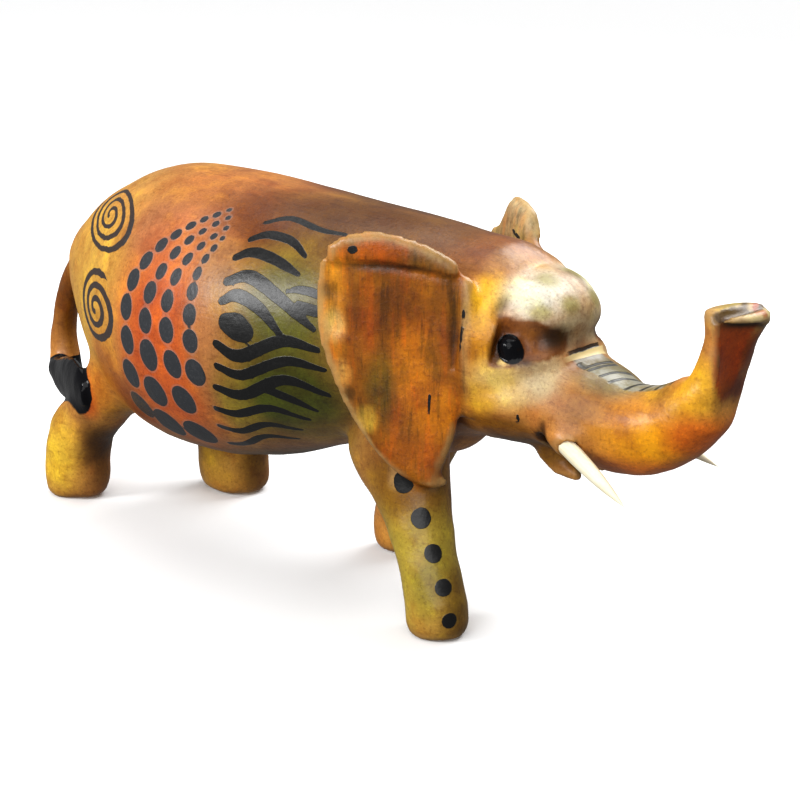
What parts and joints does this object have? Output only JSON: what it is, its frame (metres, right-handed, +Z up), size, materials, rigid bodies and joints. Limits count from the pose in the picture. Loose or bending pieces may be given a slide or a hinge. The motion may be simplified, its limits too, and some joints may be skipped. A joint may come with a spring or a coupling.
{
  "type": "carved wooden elephant",
  "caption": "Hand-carved and painted wooden elephant figurine, walking with its trunk raised, with inset pale tusks, a flat-soled stance and spots, stripes and spirals on its flanks.",
  "frame": {"origin": "on the surface it stands on, under the middle of its box", "axes": "+X towards the head, along its length; +Y to the elephant's left; +Z up"},
  "size_m": [0.2728, 0.0838, 0.1128],
  "materials": {
    "painted_wood": "stained and painted, waxed to a satin gloss",
    "tusk": "bare pale wood, polished"
  },
  "bodies": {
    "root": {"carved_body": "painted_wood", "tusk_right": "tusk", "tusk_left": "tusk"}
  },
  "joints": []
}
